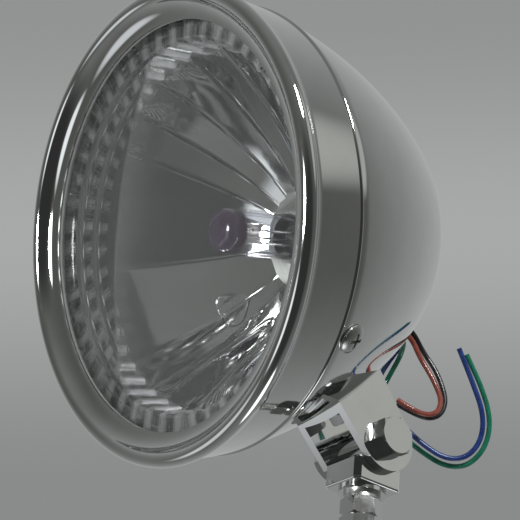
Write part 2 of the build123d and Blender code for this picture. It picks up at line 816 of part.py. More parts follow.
lead_tubes = []
for colour, route in lead_routes.items():
    points = route + [tuple(in_grommet(colour, lead_turn)), tuple(in_grommet(colour, lead_start))]
    lead_tubes.append(tube(points, wire_radius, corner_radii(points)))
with BuildPart() as inner_leads:
    add([lead.part for lead in lead_tubes])

pieces_on_lamp = {
    "trim_ring": trim_ring, "headlight_bucket": headlight_bucket, "ring_straps": ring_straps,
    "ring_hook": ring_hook, "side_screws": side_screws, "strap_nuts": strap_nuts, "lens": lens,
    "lens_gasket": lens_gasket, "reflector": reflector, "unit_clips": unit_clips,
    "bulb_glass": bulb_glass, "bulb_filaments": bulb_filaments, "bulb_base": bulb_base,
    "bulb_terminals": bulb_terminals, "bulb_clip": bulb_clip, "bulb_boot": bulb_boot,
    "bulb_plug": bulb_plug, "position_holder": position_holder, "position_bulb": position_bulb,
    "mount_bracket": mount_bracket, "bracket_backing": bracket_backing,
    "bracket_bolt": bracket_bolt, "bracket_nut": bracket_nut, "pivot_bolt": pivot_bolt,
    "pivot_washer": pivot_washer, "pivot_nut": pivot_nut, "wire_grommet": wire_grommet,
    "inner_leads": inner_leads,
}
for name, piece in pieces_on_lamp.items():
    piece.part.label = name
    save(piece.part, aim)

# Swivel block: a cast cube with a round eye that turns on the pivot bolt between the ears.
block_width = bracket_width - 2 * bracket_wall - 2 * side_play
pivot = Vector(0, 0, pivot_height)
upright = Plane(origin=pivot, x_dir=(0, 1, 0), z_dir=(1, 0, 0))
block_under = pivot_height - block_drop
with BuildPart() as swivel_block:
    with BuildSketch(Plane(origin=(0, 0, block_under), z_dir=(0, 0, 1))):
        Rectangle(block_width, block_length)
    extrude(amount=block_base)
    chamfer(swivel_block.edges().filter_by(Axis.Z), block_chamfer)
    chamfer(swivel_block.faces().sort_by(Axis.Z)[-1].edges(), block_chamfer / 2)
    with BuildSketch(upright):
        Circle(eye_radius)
        with Locations((0, -block_drop / 2)):
            Rectangle(block_neck, block_drop)
    extrude(amount=block_width / 2, both=True)
    with BuildSketch(upright):
        Circle(m8_radius + running_clearance)
    extrude(amount=block_width, both=True, mode=Mode.SUBTRACT)
    with BuildSketch(Plane(origin=(0, 0, block_under), z_dir=(0, 0, 1))):
        Circle(m8_radius)
    extrude(amount=socket_depth, mode=Mode.SUBTRACT)
    fillet(swivel_block.faces().filter_by(Axis.Z).sort_by(Axis.Z)[0].edges().filter_by(GeomType.LINE), 0.8)

# Stud with its washer, spring washer and two nuts; inside the nuts it has the thread's pitch radius.
thread_top = free_end + 2 * m8_nut
stud_top = block_under + socket_depth
with BuildPart() as mount_stud:
    with BuildSketch(Plane.XZ):
        Polygon(
            (0, -stud_point), (m8_radius - stud_point, -stud_point), (m8_radius, 0),
            (m8_radius, free_end), (m8_pitch_radius, free_end), (m8_pitch_radius, thread_top),
            (m8_radius, thread_top), (m8_radius, stud_top), (0, stud_top), align=None,
        )
    revolve(axis=Axis.Z)


def hanging(z):
    """Plane whose normal points down the stud."""
    return Plane(origin=(0, 0, z), x_dir=(1, 0, 0), z_dir=(0, 0, -1))


spring_top = block_under - m8_washer
nut_top = spring_top - m8_spring_washer
stud_washer = washer(hanging(block_under), m8_washer_radius, m8_radius + hole_clearance, m8_washer)
stud_spring_washer = spring_washer(
    hanging(spring_top), m8_spring_washer_radius, m8_radius + hole_clearance, m8_spring_washer
)
nut_bore = m8_pitch_radius + thread_gap
stud_nut = hex_piece(hanging(nut_top), m8_flats, m8_nut, bore=nut_bore)
stud_lock_nut = hex_piece(hanging(nut_top - m8_nut), m8_flats, m8_nut, bore=nut_bore)

pieces_on_mount = {
    "swivel_block": swivel_block, "mount_stud": mount_stud, "stud_washer": stud_washer,
    "stud_spring_washer": stud_spring_washer, "stud_nut": stud_nut, "stud_lock_nut": stud_lock_nut,
}
for name, piece in pieces_on_mount.items():
    piece.part.label = name
    save(piece.part)

# Wires outside: each leaves the grommet and then follows its points in the part's own frame.
exit_lift = 8.0
wire_routes = {
    "black": [(-0.4, 26.5, 93), (2, 30.8, 86.5), (3.7, 33.3, 79.6), (5, 34.2, 72.8), (4.8, 32, 66.7),
              (3.9, 26.8, 63.5), (2.5, 20.1, 63.9), (-1.2, 15.2, 67.2)],
    "red": [(0.8, 24, 89.1), (2.9, 27.2, 83.2), (4.6, 29.7, 77.4), (6.5, 30.5, 71.5), (7, 28.4, 65.9),
            (6.5, 23.4, 63), (5.2, 17.1, 63.6), (1.5, 13.1, 67.2)],
    "blue": [(-10.2, 24.6, 99.6), (-16.2, 22.6, 92.4), (-16.6, 18.4, 84), (-14, 17.5, 76.6),
             (-11, 20.4, 69.1), (-7.1, 25.4, 62.2), (-3.4, 31.9, 56.4), (0.5, 38.7, 52.5),
             (4.8, 44.4, 53.2), (8.7, 47.4, 57.8), (11.8, 47.3, 64.2), (13.5, 44.7, 71),
             (14.1, 40.1, 77.9), (14.5, 35.1, 85.2), (14.6, 31.1, 91.1)],
    "green": [(-11.2, 25.4, 96), (-17.6, 25.2, 88.6), (-19.2, 22.2, 80.2), (-17.3, 22, 72.4),
              (-15, 24.1, 67), (-11, 28.5, 60.7), (-6.4, 34.1, 55), (-2.1, 40.8, 50.9),
              (2.5, 47.2, 51.3), (7.4, 50.9, 56.7), (11.3, 51.1, 63.8), (13.5, 48.5, 71.3),
              (14.3, 43.8, 78.8), (14.4, 39.4, 84.9), (14.2, 35.5, 90.3)],
}
for colour, route in wire_routes.items():
    inside = aim * Pos(*in_grommet(colour, wire_start))
    outside = aim * Pos(*in_grommet(colour, exit_lift))
    points = [tuple(inside.position), tuple(outside.position)] + route
    radii = corner_radii(points)
    wire = tube(points, wire_radius, radii)
    wire.part.label = f"wire_{colour}"
    save(wire.part)
    length = wire.part.volume / (pi * wire_radius**2)
    print(wire.part.label, "length", round(length, 1), "radii", [round(r, 1) for r in radii])
    print("  inside", [round(v, 2) for v in points[0]], "outside", [round(v, 2) for v in points[1]])
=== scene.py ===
import bmesh
import bpy
import numpy as np
from math import cos, pi, radians, sin
from mathutils import Matrix


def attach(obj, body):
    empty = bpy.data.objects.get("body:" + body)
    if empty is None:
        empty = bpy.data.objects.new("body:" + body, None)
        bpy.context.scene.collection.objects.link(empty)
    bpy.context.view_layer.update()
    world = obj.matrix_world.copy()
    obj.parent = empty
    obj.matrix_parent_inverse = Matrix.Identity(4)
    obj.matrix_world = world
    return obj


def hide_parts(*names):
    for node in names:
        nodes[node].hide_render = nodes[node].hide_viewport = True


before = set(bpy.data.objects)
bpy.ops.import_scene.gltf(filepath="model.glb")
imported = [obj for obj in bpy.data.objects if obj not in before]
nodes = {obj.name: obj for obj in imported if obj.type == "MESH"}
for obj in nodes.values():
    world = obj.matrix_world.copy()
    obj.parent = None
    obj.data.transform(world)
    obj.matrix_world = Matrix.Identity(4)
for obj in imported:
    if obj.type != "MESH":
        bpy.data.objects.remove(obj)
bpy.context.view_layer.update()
print("frame loaded:", len(nodes), "nodes")

# how the lamp hangs on its pivot: its own axis is Y with the light leaving towards -Y
aim = {"tilt": 20.0, "pivotOnLamp": (0.0, 51.989, -80.495), "pivotHeight": 44.0}


def ownFrame(points):
    # lamp millimetres to the part's metres: turn about X at the pivot, then shift
    p = np.asarray(points, float) - np.array(aim["pivotOnLamp"])
    c, s = cos(radians(aim["tilt"])), sin(radians(aim["tilt"]))
    x, y, z = p[..., 0], p[..., 1], p[..., 2]
    return np.stack([x, c * y - s * z, s * y + c * z + aim["pivotHeight"]], axis=-1) / 1000


def lampVector(v):
    # a direction on the lamp, in the part's frame
    c, s = cos(radians(aim["tilt"])), sin(radians(aim["tilt"]))
    return v[0], c * v[1] - s * v[2], s * v[1] + c * v[2]


# ---- camera

view = {
    "place": (0.33948, -0.28085, -0.14434),
    "right": (0.6002, 0.7940, 0.0966),
    "up": (0.3605, -0.3763, 0.8535),
    "back": (0.7141, -0.4774, -0.5120),
    "lens": 91.5, "sensor": 36, "near": 0.01,
}


def makeCamera():
    camera = bpy.data.objects.new("camera", bpy.data.cameras.new("camera"))
    bpy.context.scene.collection.objects.link(camera)
    turn = Matrix((view["right"], view["up"], view["back"])).transposed()
    camera.matrix_world = Matrix.Translation(view["place"]) @ turn.to_4x4()
    camera.data.lens = view["lens"]
    camera.data.sensor_width = view["sensor"]
    camera.data.clip_start = view["near"]
    bpy.context.scene.camera = camera


makeCamera()


# ---- shader writing

class Signal:
    # a socket that can stand in a sum
    def __init__(self, shader, socket):
        self.shader = shader
        self.socket = socket

    def math(self, operation, first, second=0.0):
        return self.shader.add("ShaderNodeMath", {"operation": operation}, {0: first, 1: second})

    def __add__(self, other):
        return self.math("ADD", self, other)

    def __sub__(self, other):
        return self.math("SUBTRACT", self, other)

    def __rsub__(self, other):
        return self.math("SUBTRACT", other, self)

    def __mul__(self, other):
        return self.math("MULTIPLY", self, other)

    def __pow__(self, other):
        return self.math("POWER", self, other)

    __radd__ = __add__
    __rmul__ = __mul__

    def least(self, other):
        return self.math("MINIMUM", self, other)

    def most(self, other):
        return self.math("MAXIMUM", self, other)

    def size(self):
        return self.math("ABSOLUTE", self)

    def wave(self):
        return self.math("SINE", self)

    def turnFrom(self, other):
        # the angle that this signal makes with the other one, in radians
        return self.math("ARCTAN2", self, other)

    def between(self, low, high):
        # 0 at low to 1 at high, held outside
        return self.shader.add(
            "ShaderNodeMapRange", {"interpolation_type": "SMOOTHSTEP"},
            {"Value": self, "From Min": low, "From Max": high},
        )


class Shader:
    # the node tree of one material or of the world
    def __init__(self, owner):
        owner.use_nodes = True
        self.owner = owner
        self.tree = owner.node_tree

    def add(self, kind, settings, values, output=0):
        node = self.tree.nodes.new(kind)
        for key, value in settings.items():
            setattr(node, key, value)
        for key, value in values.items():
            self.feed(node.inputs[key], value)
        return Signal(self, node.outputs[output])

    def feed(self, socket, value):
        if isinstance(value, Signal):
            self.tree.links.new(value.socket, socket)
        elif isinstance(value, tuple) and len(value) == 3 and socket.type == "RGBA":
            socket.default_value = (*value, 1)
        else:
            socket.default_value = value

    def blend(self, share, first, second):
        values = {0: share, 6: first, 7: second}
        return self.add("ShaderNodeMix", {"data_type": "RGBA"}, values, output=2)

    def noise(self, place, scale, detail):
        values = {"Vector": place, "Scale": scale, "Detail": detail, "Roughness": 0.55}
        return self.add("ShaderNodeTexNoise", {}, values)

    def stretched(self, place, amounts):
        return self.add("ShaderNodeMapping", {}, {"Vector": place, "Scale": amounts})

    def along(self, place, direction):
        settings = {"operation": "DOT_PRODUCT"}
        return self.add("ShaderNodeVectorMath", settings, {0: place, 1: direction}, output="Value")

    def length(self, place):
        return self.add("ShaderNodeVectorMath", {"operation": "LENGTH"}, {0: place}, output="Value")

    def bumps(self, height, strength, distance):
        values = {"Height": height, "Strength": strength, "Distance": distance}
        return self.add("ShaderNodeBump", {}, values)

    def ray(self, kind):
        return self.add("ShaderNodeLightPath", {}, {}, output=kind)

    def mixed(self, share, first, second):
        return self.add("ShaderNodeMixShader", {}, {0: share, 1: first, 2: second})


class Finish(Shader):
    # a material with one principled surface
    def __init__(self, name, **plain):
        super().__init__(bpy.data.materials.new(name))
        self.principled = self.tree.nodes["Principled BSDF"]
        self.surface = Signal(self, self.principled.outputs[0])
        self.place = self.add("ShaderNodeTexCoord", {}, {}, output="Object")
        for socket, value in plain.items():
            self.paint(socket, value)

    def paint(self, socket, value):
        names = {"colour": "Base Color", "rough": "Roughness", "metal": "Metallic",
                 "coat": "Coat Weight", "normal": "Normal"}
        self.feed(self.principled.inputs[names[socket]], value)

    def show(self, surface):
        # another surface than the principled one
        self.feed(self.tree.nodes["Material Output"].inputs["Surface"], surface)


def dressed(piece, finish):
    piece.data.materials.clear()
    piece.data.materials.append(finish.owner)


# ---- surfaces

def gridPiece(name, points, replaces, body="lamp", wrapRows=False):
    # points is rows x columns x 3 in metres; neighbouring points make the faces, and each row closes
    rows, columns = points.shape[:2]
    r, c = np.meshgrid(np.arange(rows if wrapRows else rows - 1), np.arange(columns), indexing="ij")
    below, beside = (r + 1) % rows, (c + 1) % columns
    corners = np.stack([r * columns + c, r * columns + beside,
                        below * columns + beside, below * columns + c], axis=-1).reshape(-1, 4)
    mesh = bpy.data.meshes.new(name)
    mesh.vertices.add(rows * columns)
    mesh.vertices.foreach_set("co", points.reshape(-1).astype(np.float32))
    mesh.loops.add(corners.size)
    mesh.loops.foreach_set("vertex_index", corners.reshape(-1).astype(np.int32))
    mesh.polygons.add(len(corners))
    mesh.polygons.foreach_set("loop_start", np.arange(0, corners.size, 4, dtype=np.int32))
    mesh.update(calc_edges=True)
    sealed = bmesh.new()
    sealed.from_mesh(mesh)
    bmesh.ops.remove_doubles(sealed, verts=sealed.verts, dist=2e-6)
    bmesh.ops.recalc_face_normals(sealed, faces=sealed.faces)
    sealed.to_mesh(mesh)
    sealed.free()
    mesh.shade_smooth()
    piece = bpy.data.objects.new(name, mesh)
    bpy.context.scene.collection.objects.link(piece)
    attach(piece, body)
    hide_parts(replaces)
    return piece


def turned(line, columns):
    # an (axial, radial) line carried round the lamp's axis, from the bottom towards +X
    turn = np.arange(columns) * 2 * np.pi / columns
    y, r = line[:, 0, None], line[:, 1, None]
    return ownFrame(np.stack([r * np.sin(turn), y + 0 * turn, -r * np.cos(turn)], axis=-1))


def arcLine(centre, radius, start, stop, count):
    # points of a circle in the (axial, radial) plane, degrees from the axial direction
    a = np.radians(np.linspace(start, stop, count))
    return np.stack([centre[0] + radius * np.cos(a), centre[1] + radius * np.sin(a)], axis=-1)


def straightLine(start, stop, count):
    share = np.linspace(0, 1, count)[:, None]
    return np.array(start) * (1 - share) + np.array(stop) * share


def creased(piece, degrees):
    # keeps hard edges hard on a smooth piece
    piece.data.set_sharp_from_angle(angle=radians(degrees))
    return piece


# ---- trim ring

ring = {
    "lip": 82.5, "bead": 2.9, "depth": 25.8, "wall": 1.0, "rear": 78.9, "drop": 2.0,
    "hem": 1.4, "hemHeight": 0.5, "opening": 70.6, "setback": 5.5, "sag": 1.0, "columns": 360,
    "crease": 50, "beadFrom": 240, "beadTo": 37, "beadGap": 0.4,
    "flarePoints": 26, "beadPoints": 34, "bandPoints": 16, "hemPoints": 9,
}


def ringOutline(grow):
    # flare, rolled bead, band and hem, each moved outwards by grow
    bead = (ring["bead"] - ring["depth"], ring["lip"] - ring["bead"])
    inner = np.array([ring["setback"] - ring["depth"], ring["opening"]])
    outer = arcLine(bead, ring["bead"], ring["beadFrom"], ring["beadFrom"], 1)[0]
    run = outer - inner
    across = np.array([run[1], -run[0]]) / np.hypot(*run)
    middle = (inner + outer) / 2 + ring["sag"] * across
    pull = 2 * middle - (inner + outer) / 2
    share = np.linspace(0, 1, ring["flarePoints"])[:, None]
    hollow = (1 - share) ** 2 * inner + 2 * share * (1 - share) * pull + share**2 * outer
    flare = hollow - grow * across
    roll = arcLine(bead, ring["bead"] + grow, ring["beadFrom"], ring["beadTo"], ring["beadPoints"])
    start = np.array([bead[0] + ring["bead"] + ring["beadGap"], ring["rear"] + ring["drop"]])
    stop = np.array([-ring["hem"], ring["rear"]])
    side = np.array([0.0, grow])
    band = straightLine(start + side, stop + side, ring["bandPoints"])
    swell = np.linspace(0, np.pi, ring["hemPoints"])
    hemRadius = ring["rear"] + grow + ring["hemHeight"] * np.sin(swell)
    hem = np.stack([-ring["hem"] * (1 - swell / np.pi), hemRadius], -1)
    return np.concatenate([flare, roll, band, hem[1:]])


def makeRing(finish):
    outline = np.concatenate([ringOutline(0), ringOutline(-ring["wall"])[::-1]])
    points = turned(outline, ring["columns"])
    piece = gridPiece("trimRing", points, replaces="trim_ring", wrapRows=True)
    dressed(creased(piece, ring["crease"]), finish)


# ---- bucket

bucket = {
    "wall": 1.0, "radius": 77.6, "overlap": 9.0, "pastSeam": 1.5, "shoulder": 12.0,
    "flank": 170.0, "flankStart": 13.0, "flankEnd": 34.0, "columns": 360, "crease": 50,
    "rimPoints": 5, "shoulderPoints": 8, "flankPoints": 40, "capPoints": 56,
}


def bowlLine(grow):
    # rim, shoulder arc, flank arc and the round cap, grown outwards
    a0, a1 = radians(bucket["flankStart"]), radians(bucket["flankEnd"])
    shoulder = np.array([bucket["pastSeam"], bucket["radius"] - bucket["shoulder"]])
    tangent = shoulder + bucket["shoulder"] * np.array([sin(a0), cos(a0)])
    flank = tangent - bucket["flank"] * np.array([sin(a0), cos(a0)])
    stop = flank + bucket["flank"] * np.array([sin(a1), cos(a1)])
    capRadius = stop[1] / cos(a1)
    cap = np.array([stop[0] - capRadius * sin(a1), 0.0])
    rim = bucket["radius"] + grow
    flankFrom, flankTo = 90 - bucket["flankStart"], 90 - bucket["flankEnd"]
    return np.concatenate([
        straightLine((-bucket["overlap"], rim), (bucket["pastSeam"], rim), bucket["rimPoints"])[:-1],
        arcLine(shoulder, bucket["shoulder"] + grow, 90, flankFrom, bucket["shoulderPoints"])[:-1],
        arcLine(flank, bucket["flank"] + grow, flankFrom, flankTo, bucket["flankPoints"])[:-1],
        arcLine(cap, capRadius + grow, flankTo, 0, bucket["capPoints"]),
    ])


def makeBucket(finish):
    outline = np.concatenate([bowlLine(0)[::-1], bowlLine(-bucket["wall"])])
    points = turned(outline, bucket["columns"])
    piece = gridPiece("bucketShell", points, replaces="headlight_bucket")
    dressed(creased(piece, bucket["crease"]), finish)


# ---- lens

lens = {
    "front": -18.1, "wall": 3.0, "flange": 74.5, "step": 67.0, "stepHeight": 0.5, "sideWall": 1.0,
    "dome": 5.0, "domePoints": 40, "columns": 240, "crease": 40,
}


def makeLens(finish):
    # a flat rim, a small step and a shallow dome in front; the hollow side behind
    share = np.linspace(1, 0, lens["domePoints"])
    rise = 1 - share**2
    inside = lens["front"] + lens["wall"]
    frontY = lens["front"] - lens["stepHeight"] - (lens["dome"] - lens["stepHeight"]) * rise
    front = np.stack([frontY, lens["step"] * share], -1)
    back = np.stack([inside - lens["dome"] * rise, (lens["step"] - lens["sideWall"]) * share], -1)
    rim = np.array([[inside, lens["flange"]], [lens["front"], lens["flange"]],
                    [lens["front"], lens["step"]]])
    outline = np.concatenate([back[::-1], rim, front])
    points = turned(outline, lens["columns"])
    piece = gridPiece("lensGlass", points, replaces="lens")
    dressed(creased(piece, lens["crease"]), finish)


# ---- reflector

reflector = {
    "rimFront": -15.1, "flange": 74.5, "flangeWall": 1.5, "skirt": 65.2, "skirtDepth": 12.9,
    "mouth": 64.5, "depth": 44.0, "hole": 19.0, "collar": 24.0, "collarLength": 5.0, "wall": 2.2,
    "edges": [9, 25, 40, 54, 82, 118, 134, 152, 171], "columns": 720, "rows": 92,
    "skirtRows": 12, "skirtTop": 0.12, "backRows": 12, "holeGap": 0.3, "crease": 4,
    "ribs": 48, "ribHeight": 1.5, "ribShape": 1.5, "seam": 0.35, "seamWidth": 0.7,
    "lobe": 0.085, "lobeFrom": 125, "lobeFade": 15, "lobeStretch": 1.15,
    "step": 1.1, "stepTo": 60, "stepFade": 20, "curl": 1.2, "curlReach": 0.16,
}


def facetRadius(turn, share):
    # distance from the axis: a paraboloid cut by chords between the facet edges, with raised
    # seams there, lobes in the lower strips, and steps and curled outer ends in the upper ones
    edges = np.array([-e for e in reversed(reflector["edges"])] + reflector["edges"], float)
    edges = np.concatenate([[edges[-1] - 360], edges, [edges[0] + 360]])
    top = (turn + 180) % 360 - 180
    strip = np.clip(np.searchsorted(edges, top, side="right") - 1, 0, len(edges) - 2)
    low, high = edges[strip], edges[strip + 1]
    middle, half = (low + high) / 2, (high - low) / 2
    curve = (reflector["mouth"] ** 2 - reflector["hole"] ** 2) / reflector["depth"]
    full = np.sqrt(np.maximum(reflector["mouth"] ** 2 - curve * share * reflector["depth"], 1.0))
    flat = np.cos(np.radians(half)) / np.cos(np.radians(top - middle))
    away = np.abs(top - middle) / half
    arch = 1 - away**2
    lower = np.clip((np.abs(middle) - reflector["lobeFrom"]) / reflector["lobeFade"], 0, 1)
    swell = np.sin(np.pi * np.clip(share * reflector["lobeStretch"], 0, 1))
    lobe = 1 - reflector["lobe"] * lower * arch * swell
    seam = reflector["seam"] * np.exp(-((1 - away) * half / reflector["seamWidth"]) ** 2)
    upper = np.clip((reflector["stepTo"] - np.abs(middle)) / reflector["stepFade"], 0, 1)
    step = reflector["step"] * upper * np.clip((top - low) / (high - low), 0, 1)
    curl = reflector["curl"] * upper * np.exp(-(share / reflector["curlReach"]) ** 2) * arch
    return full * flat * lobe - seam - step - curl


def reflectorPoints():
    # skirt, facets and collar seen from the front, then back round the outside to the flange
    turn = np.arange(reflector["columns"]) * 360.0 / reflector["columns"]
    rimY = reflector["rimFront"]
    mouthY = rimY + reflector["skirtDepth"]
    backY = mouthY + reflector["depth"]
    collarY = backY + reflector["collarLength"]
    outside = reflector["skirt"] + reflector["wall"]
    rows = []

    def ringRow(y, r):
        a = np.radians(turn)
        r = r + 0 * turn
        rows.append(np.stack([r * np.sin(a), y + 0 * a, r * np.cos(a)], -1))

    ribs = 0.5 + 0.5 * np.cos(np.radians(turn * reflector["ribs"]))
    ribbed = reflector["skirt"] - reflector["ribHeight"] * ribs ** reflector["ribShape"]
    ringRow(rimY, reflector["skirt"])
    for share in np.linspace(reflector["skirtTop"], 1, reflector["skirtRows"]):
        ringRow(rimY + share * reflector["skirtDepth"], ribbed)
    for share in np.linspace(0, 1, reflector["rows"]):
        ringRow(mouthY + share * reflector["depth"], facetRadius(turn, share))
    ringRow(backY + reflector["holeGap"], reflector["hole"])
    ringRow(collarY, reflector["hole"])
    ringRow(collarY, reflector["collar"])
    ringRow(backY, reflector["collar"])
    for share in np.linspace(1, 0, reflector["backRows"]):
        ringRow(mouthY + share * reflector["depth"], facetRadius(turn, share) + reflector["wall"])
    ringRow(mouthY + reflector["flangeWall"], outside)
    ringRow(rimY + reflector["flangeWall"], outside)
    ringRow(rimY + reflector["flangeWall"], reflector["flange"])
    ringRow(rimY, reflector["flange"])
    return ownFrame(np.stack(rows))


def makeReflector(finish):
    piece = gridPiece("reflectorFacets", reflectorPoints(),
                      replaces="reflector", wrapRows=True)
    dressed(creased(piece, reflector["crease"]), finish)


# ---- mounting stud

stud = {
    "radius": 4.0, "root": 3.35, "inNuts": 3.6, "freeEnd": 11.0, "nutsEnd": 24.0, "point": 0.6,
    "pitch": 1.25, "stepsPerTurn": 8, "columns": 48, "crease": 50,
}


def makeStud(finish):
    # an M8 thread on the free end and above the nuts, plain inside them, with a chamfered point
    solid = nodes["mount_stud"]
    top = max((solid.matrix_world @ v.co).z for v in solid.data.vertices) * 1000
    count = int((top + stud["point"]) / stud["pitch"] * stud["stepsPerTurn"])
    around = np.arange(stud["columns"]) * 2 * np.pi / stud["columns"]
    height, turn = np.meshgrid(np.linspace(-stud["point"], top, count), around, indexing="ij")
    crest = np.abs(((height / stud["pitch"] - turn / (2 * np.pi)) % 1) * 2 - 1)
    r = stud["root"] + (stud["radius"] - stud["root"]) * crest
    r = np.where((height > stud["freeEnd"]) & (height < stud["nutsEnd"]), stud["inNuts"], r)
    r = np.minimum(r, stud["radius"] + np.minimum(height, 0))
    r[0], r[-1] = stud["radius"] - stud["point"], stud["root"]
    points = np.stack([r * np.sin(turn), r * np.cos(turn), height], -1)
    points = np.concatenate([points[:1] * (0, 0, 1), points, points[-1:] * (0, 0, 1)]) / 1000
    piece = gridPiece("studThread", points, replaces="mount_stud", body="mount")
    dressed(creased(piece, stud["crease"]), finish)


# ---- wires

wires = {
    "diameter": 0.002, "order": 3, "stepsPerPoint": 10, "bevelSteps": 6,
    "black": {"length": 0.0687, "points": [
        (1.45, 8.47, 101.34), (1.45, 18.22, 99.62), (-0.4, 26.5, 93), (2, 30.8, 86.5),
        (3.7, 33.3, 79.6), (5, 34.2, 72.8), (4.8, 32, 66.7), (3.9, 26.8, 63.5), (2.5, 20.1, 63.9),
        (-1.2, 15.2, 67.2)]},
    "red": {"length": 0.0632, "points": [
        (1.45, 7.97, 98.49), (1.45, 17.72, 96.77), (0.8, 24, 89.1), (2.9, 27.2, 83.2),
        (4.6, 29.7, 77.4), (6.5, 30.5, 71.5), (7, 28.4, 65.9), (6.5, 23.4, 63), (5.2, 17.1, 63.6),
        (1.5, 13.1, 67.2)]},
    "blue": {"length": 0.1335, "points": [
        (-1.45, 8.47, 101.34), (-1.45, 18.22, 99.62), (-10.2, 24.6, 99.6), (-16.2, 22.6, 92.4),
        (-16.6, 18.4, 84), (-14, 17.5, 76.6), (-11, 20.4, 69.1), (-7.1, 25.4, 62.2),
        (-3.4, 31.9, 56.4), (0.5, 38.7, 52.5), (4.8, 44.4, 53.2), (8.7, 47.4, 57.8),
        (11.8, 47.3, 64.2), (13.5, 44.7, 71), (14.1, 40.1, 77.9), (14.5, 35.1, 85.2),
        (14.6, 31.1, 91.1)]},
    "green": {"length": 0.1351, "points": [
        (-1.45, 7.97, 98.49), (-1.45, 17.72, 96.77), (-11.2, 25.4, 96), (-17.6, 25.2, 88.6),
        (-19.2, 22.2, 80.2), (-17.3, 22, 72.4), (-15, 24.1, 67), (-11, 28.5, 60.7),
        (-6.4, 34.1, 55), (-2.1, 40.8, 50.9), (2.5, 47.2, 51.3), (7.4, 50.9, 56.7),
        (11.3, 51.1, 63.8), (13.5, 48.5, 71.3), (14.3, 43.8, 78.8), (14.4, 39.4, 84.9),
        (14.2, 35.5, 90.3)]},
}


def makeWire(colour, finish):
    # the points' radius gives the thickness, so that the curve's own bounds are true
    curve = bpy.data.curves.new("wire" + colour.capitalize(), "CURVE")
    curve.dimensions = "3D"
    curve.bevel_depth = 1.0
    curve.bevel_resolution = wires["bevelSteps"]
    curve.resolution_u = wires["stepsPerPoint"]
    curve.use_fill_caps = True
    spline = curve.splines.new("NURBS")
    points = np.array(wires[colour]["points"]) / 1000
    spline.points.add(len(points) - 1)
    weighted = np.concatenate([points, np.ones((len(points), 1))], 1)
    spline.points.foreach_set("co", weighted.reshape(-1))
    spline.points.foreach_set("radius", np.full(len(points), wires["diameter"] / 2))
    spline.order_u = wires["order"]
    spline.use_endpoint_u = True
    piece = bpy.data.objects.new(curve.name, curve)
    bpy.context.scene.collection.objects.link(piece)
    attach(piece, "lamp")
    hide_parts("wire_" + colour)
    dressed(piece, finish)


# ---- finishes

def chromeFinish():
    finish = Finish("polishedChrome", metal=1.0)
    haze = finish.noise(finish.place, 90, 4)
    film = finish.noise(finish.stretched(finish.place, (1.0, 14.0, 1.0)), 26, 5)
    finish.paint("colour", finish.blend(haze, (0.76, 0.77, 0.765), (0.88, 0.89, 0.885)))
    finish.paint("rough", 0.03 + 0.05 * haze.between(0.35, 0.75) + 0.05 * film.between(0.55, 0.75))
    return finish


def zincFinish():
    finish = Finish("zincSteel", metal=1.0)
    cloud = finish.noise(finish.place, 240, 5)
    finish.paint("colour", finish.blend(cloud, (0.60, 0.61, 0.60), (0.80, 0.81, 0.79)))
    finish.paint("rough", 0.22 + 0.18 * cloud)
    finish.paint("normal", finish.bumps(cloud, 0.15, 0.0004))
    return finish


def threadFinish():
    # painted shade darkens the thread's grooves, and its crests are painted lighter
    finish = Finish("threadedSteel", metal=1.0)
    flat = finish.stretched(finish.place, (1.0, 1.0, 0.0))
    crest = finish.length(flat).between(0.0034, 0.0040)
    cloud = finish.noise(finish.place, 240, 5)
    # painted shade: dark in the thread's grooves, lighter on its crests
    finish.paint("colour", finish.blend(crest, (0.34, 0.34, 0.33), (0.74, 0.75, 0.74)))
    finish.paint("rough", 0.20 + 0.18 * cloud)
    finish.paint("normal", finish.bumps(cloud, 0.15, 0.0004))
    return finish


def springSteelFinish():
    finish = Finish("springSteel", metal=1.0)
    grain = finish.noise(finish.stretched(finish.place, (60, 900, 900)), 1.0, 3)
    finish.paint("colour", finish.blend(grain, (0.40, 0.41, 0.43), (0.58, 0.59, 0.61)))
    finish.paint("rough", 0.28 + 0.14 * grain)
    return finish


def mirrorFinish():
    # bright aluminium, duller on the skirt's ribs, with painted shade in patches of the grooves
    # between them
    finish = Finish("vapourMirror", metal=1.0)
    haze = finish.noise(finish.place, 60, 4)
    axis, top = lampVector((0, 1, 0)), lampVector((0, 0, 1))
    mouth = ownFrame((0, reflector["rimFront"] + reflector["skirtDepth"], 0))
    mouthDepth, mouthHeight = float(mouth @ np.array(axis)), float(mouth @ np.array(top))
    depth = finish.along(finish.place, axis)
    onSkirt = 1 - depth.between(mouthDepth - 0.0006, mouthDepth + 0.0002)
    across = finish.along(finish.place, (1.0, 0.0, 0.0))
    turn = across.turnFrom(finish.along(finish.place, top) - mouthHeight)
    bars = 0.5 + 0.5 * (turn * reflector["ribs"] + pi / 2).wave()
    clean = finish.blend(haze, (0.80, 0.81, 0.81), (0.90, 0.90, 0.90))
    # painted shade: dark patches in the grooves between the skirt's ribs
    grooveShade = onSkirt * (1 - bars) * finish.noise(finish.place, 130, 3).between(0.35, 0.6)
    finish.paint("colour", finish.blend(grooveShade, clean, (0.34, 0.35, 0.345)))
    finish.paint("rough", 0.03 + 0.05 * haze + onSkirt * (0.10 + 0.22 * bars))
    finish.paint("normal", finish.bumps(finish.noise(finish.place, 55, 2), 0.12, 0.0006))
    return finish


def clearFinish(name, tint, weight, dust):
    # thin clear glass: light passes straight through, and only its shine and dust are added
    finish = Finish(name, colour=tint, metal=1.0)
    smudge = finish.noise(finish.place, 35, 4)
    finish.paint("rough", 0.015 + 0.03 * smudge)
    through = finish.add("ShaderNodeBsdfTransparent", {}, {"Color": tint})
    shine = finish.add("ShaderNodeLayerWeight", {}, {"Blend": weight}, output="Fresnel")
    veil = finish.add("ShaderNodeBsdfDiffuse", {}, {"Color": (0.85, 0.87, 0.86)})
    clear = finish.mixed(shine, through, finish.surface)
    finish.show(finish.mixed(dust * (0.7 + 0.6 * smudge), clear, veil))
    return finish


